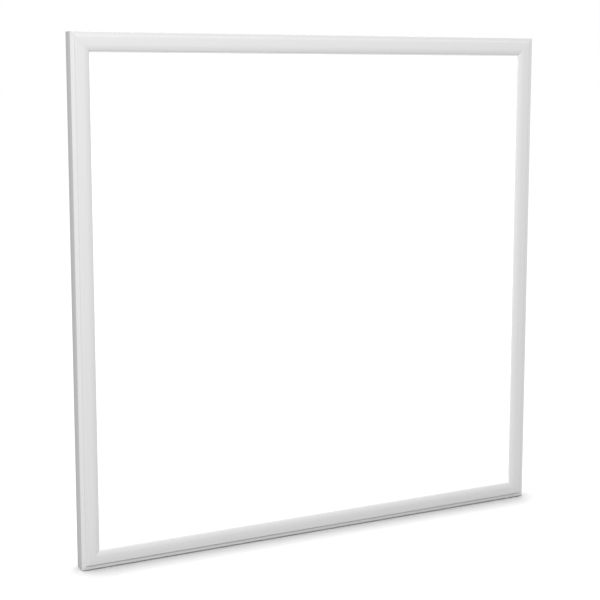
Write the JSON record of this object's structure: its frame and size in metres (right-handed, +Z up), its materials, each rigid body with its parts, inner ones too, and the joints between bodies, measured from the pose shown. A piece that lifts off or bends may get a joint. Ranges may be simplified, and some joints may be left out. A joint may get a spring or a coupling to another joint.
{
  "type": "led panel light",
  "caption": "Square edge-lit ceiling panel light: white mitred frame with a stepped face, opal diffuser, flat back and a small wire box with a flip lid.",
  "frame": {"origin": "centre of the panel, in the plane of the front of its outer lip, which rests on a ceiling grid", "axes": "+Z up with the panel standing as in the picture, lit face towards -Y, back and wire box towards +Y, +X to the right seen from the front"},
  "size_m": [0.595, 0.0326, 0.595],
  "materials": {
    "satin_white_paint": "satin",
    "opal_acrylic": "satin",
    "clear_acrylic": "gloss",
    "white_film": "satin",
    "white_foam": "matte",
    "circuit_board": "satin",
    "thermal_tape": "matte",
    "silicone": "matte",
    "zinc_steel": "satin",
    "painted_sheet": "satin",
    "plated_brass": "satin",
    "white_plastic": "satin",
    "grey_nylon": "satin",
    "orange_plastic": "satin",
    "grey_rubber": "matte",
    "red_insulation": "satin",
    "black_insulation": "satin"
  },
  "bodies": {
    "panel": {"back_cover": "painted_sheet", "back_screw_01": "zinc_steel", "back_screw_02": "zinc_steel", "back_screw_03": "zinc_steel", "back_screw_04": "zinc_steel", "back_screw_05": "zinc_steel", "back_screw_06": "zinc_steel", "back_screw_07": "zinc_steel", "back_screw_08": "zinc_steel", "back_screw_09": "zinc_steel", "back_screw_10": "zinc_steel", "back_screw_11": "zinc_steel", "back_screw_12": "zinc_steel", "back_screw_13": "zinc_steel", "back_screw_14": "zinc_steel", "back_screw_15": "zinc_steel", "back_screw_16": "zinc_steel", "corner_key_bottom_left": "zinc_steel", "corner_key_bottom_right": "zinc_steel", "corner_key_top_left": "zinc_steel", "corner_key_top_right": "zinc_steel", "diffuser_plate": "opal_acrylic", "edge_reflector_bottom": "white_film", "edge_reflector_top": "white_film", "foam_pad": "white_foam", "frame_rail_bottom": "satin_white_paint", "frame_rail_left": "satin_white_paint", "frame_rail_right": "satin_white_paint", "frame_rail_top": "satin_white_paint", "guide_spacer_bottom_left": "silicone", "guide_spacer_bottom_right": "silicone", "guide_spacer_top_left": "silicone", "guide_spacer_top_right": "silicone", "hanger_insert_bottom_left": "plated_brass", "hanger_insert_bottom_right": "plated_brass", "hanger_insert_top_left": "plated_brass", "hanger_insert_top_right": "plated_brass", "lead_left_negative": "black_insulation", "lead_left_positive": "red_insulation", "lead_right_negative": "black_insulation", "lead_right_positive": "red_insulation", "led_strip_left": "circuit_board", "led_strip_right": "circuit_board", "lid_hinge_pin": "zinc_steel", "light_guide_plate": "clear_acrylic", "outlet_grommet": "grey_rubber", "reflector_film": "white_film", "terminal_block": "grey_nylon", "thermal_tape_left": "thermal_tape", "thermal_tape_right": "thermal_tape", "wire_box_base": "white_plastic", "wire_box_screw_1": "zinc_steel", "wire_box_screw_2": "zinc_steel", "wire_bush": "grey_rubber"},
    "lid": {"wire_box_lid": "white_plastic"},
    "button_negative": {"terminal_button_negative": "orange_plastic"},
    "button_positive": {"terminal_button_positive": "orange_plastic"}
  },
  "joints": [
    {"name": "lid_hinge", "type": "hinge", "parent": "panel", "child": "lid", "pos_m": [0, 0.0284, 0.2799], "axis": [1, 0, 0], "range_deg": [0, 120]},
    {"name": "negative_release", "type": "slide", "parent": "panel", "child": "button_negative", "axis": [0, -1, 0], "range_m": [0, 0.0008], "stiffness_N_per_m": 600},
    {"name": "positive_release", "type": "slide", "parent": "panel", "child": "button_positive", "axis": [0, -1, 0], "range_m": [0, 0.0008], "stiffness_N_per_m": 600}
  ]
}
